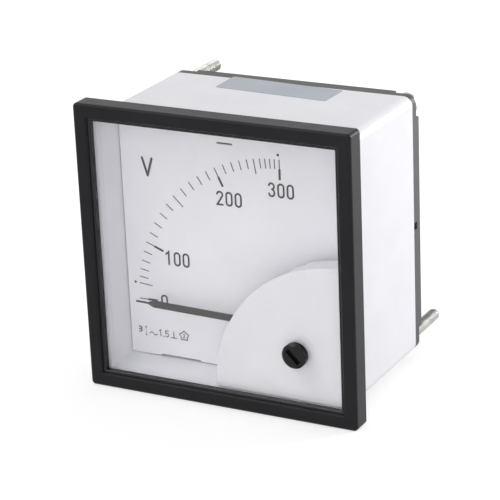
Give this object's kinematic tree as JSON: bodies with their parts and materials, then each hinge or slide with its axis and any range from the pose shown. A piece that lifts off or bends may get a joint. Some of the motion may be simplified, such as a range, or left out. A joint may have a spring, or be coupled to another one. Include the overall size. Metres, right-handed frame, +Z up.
{
  "type": "analog panel meter",
  "caption": "Square flush-mounting analog voltmeter with a quarter-circle scale, pointer, zero adjuster, moving-iron movement, clamp studs and rear terminals.",
  "frame": {"origin": "centre of the bezel's back face, on the panel's front surface", "axes": "+X right and +Z up as the dial is read, +Y through the panel towards the terminals"},
  "size_m": [0.072, 0.0598, 0.072],
  "materials": {
    "bezel_black": "satin moulded plastic",
    "clear_glass": "clear float glass",
    "case_white": "satin moulded plastic",
    "cover_grey": "satin moulded plastic",
    "zinc_steel": "bright zinc plate",
    "dial_white": "matt white lacquer on sheet",
    "mask_white": "satin moulded plastic",
    "adjuster_black": "glossy moulded plastic",
    "brass_sheet": "nickel flashed brass sheet",
    "spring_bronze": "phosphor bronze strip",
    "pointer_grey": "matt dark lacquer on sheet",
    "turned_brass": "turned, nickel flashed",
    "polished_steel": "polished",
    "pressed_steel": "pressed sheet",
    "frame_nylon": "natural moulded plastic",
    "bare_aluminium": "bare thin sheet",
    "copper_winding": "enamelled copper wire",
    "soft_iron": "annealed iron strip",
    "resistor_body": "vitreous coating",
    "lead_insulation": "soft insulation"
  },
  "bodies": {
    "housing": {"bezel": "bezel_black", "window_glass": "clear_glass", "case_body": "case_white", "rear_cover": "cover_grey", "clamp_studs": "zinc_steel", "cover_screws": "zinc_steel", "dial_plate": "dial_white", "movement_mask": "mask_white", "front_bearing": "turned_brass", "bearing_nut": "turned_brass", "front_bridge": "pressed_steel", "bridge_screw": "zinc_steel", "movement_frame": "frame_nylon", "chamber_lid": "frame_nylon", "coil_bobbin": "frame_nylon", "coil_winding": "copper_winding", "fixed_iron": "soft_iron", "rear_bearing": "turned_brass", "rear_bearing_nut": "turned_brass", "movement_base": "frame_nylon", "frame_screws": "zinc_steel", "base_screws": "zinc_steel", "series_resistor": "resistor_body", "terminal_lead": "lead_insulation", "resistor_lead": "lead_insulation", "coil_lead": "lead_insulation", "terminal_studs": "turned_brass", "terminal_tags": "brass_sheet", "terminal_washers": "brass_sheet", "terminal_nuts": "turned_brass", "clamp_washers": "brass_sheet", "clamp_nuts": "turned_brass"},
    "adjuster": {"zero_adjuster": "adjuster_black"},
    "lever": {"zero_lever": "brass_sheet", "hairspring": "spring_bronze"},
    "moving_system": {"pointer": "pointer_grey", "pointer_hub": "turned_brass", "balance_weights": "turned_brass", "spindle": "polished_steel", "damping_vane": "bare_aluminium", "moving_iron": "soft_iron"}
  },
  "joints": [
    {"name": "zero_adjust", "type": "hinge", "parent": "housing", "child": "adjuster", "pos_m": [0.0198, -0.004, -0.0198], "axis": [0, 1, 0], "range_deg": [-45, 45]},
    {"name": "zero_lever_turn", "type": "hinge", "parent": "housing", "child": "lever", "pos_m": [0.0119, 0.003, -0.0161], "axis": [0, 1, 0], "range_deg": [-5.4, 5.4]},
    {"name": "pointer_swing", "type": "hinge", "parent": "lever", "child": "moving_system", "pos_m": [0.0119, 0.003, -0.0161], "axis": [0, 1, 0], "range_deg": [-4, 94], "stiffness_Nm_per_rad": 0.000025, "deforming": ["hairspring"]}
  ],
  "couplings": [
    {"joint": "zero_lever_turn", "follows": "zero_adjust", "ratio": 0.116}
  ]
}
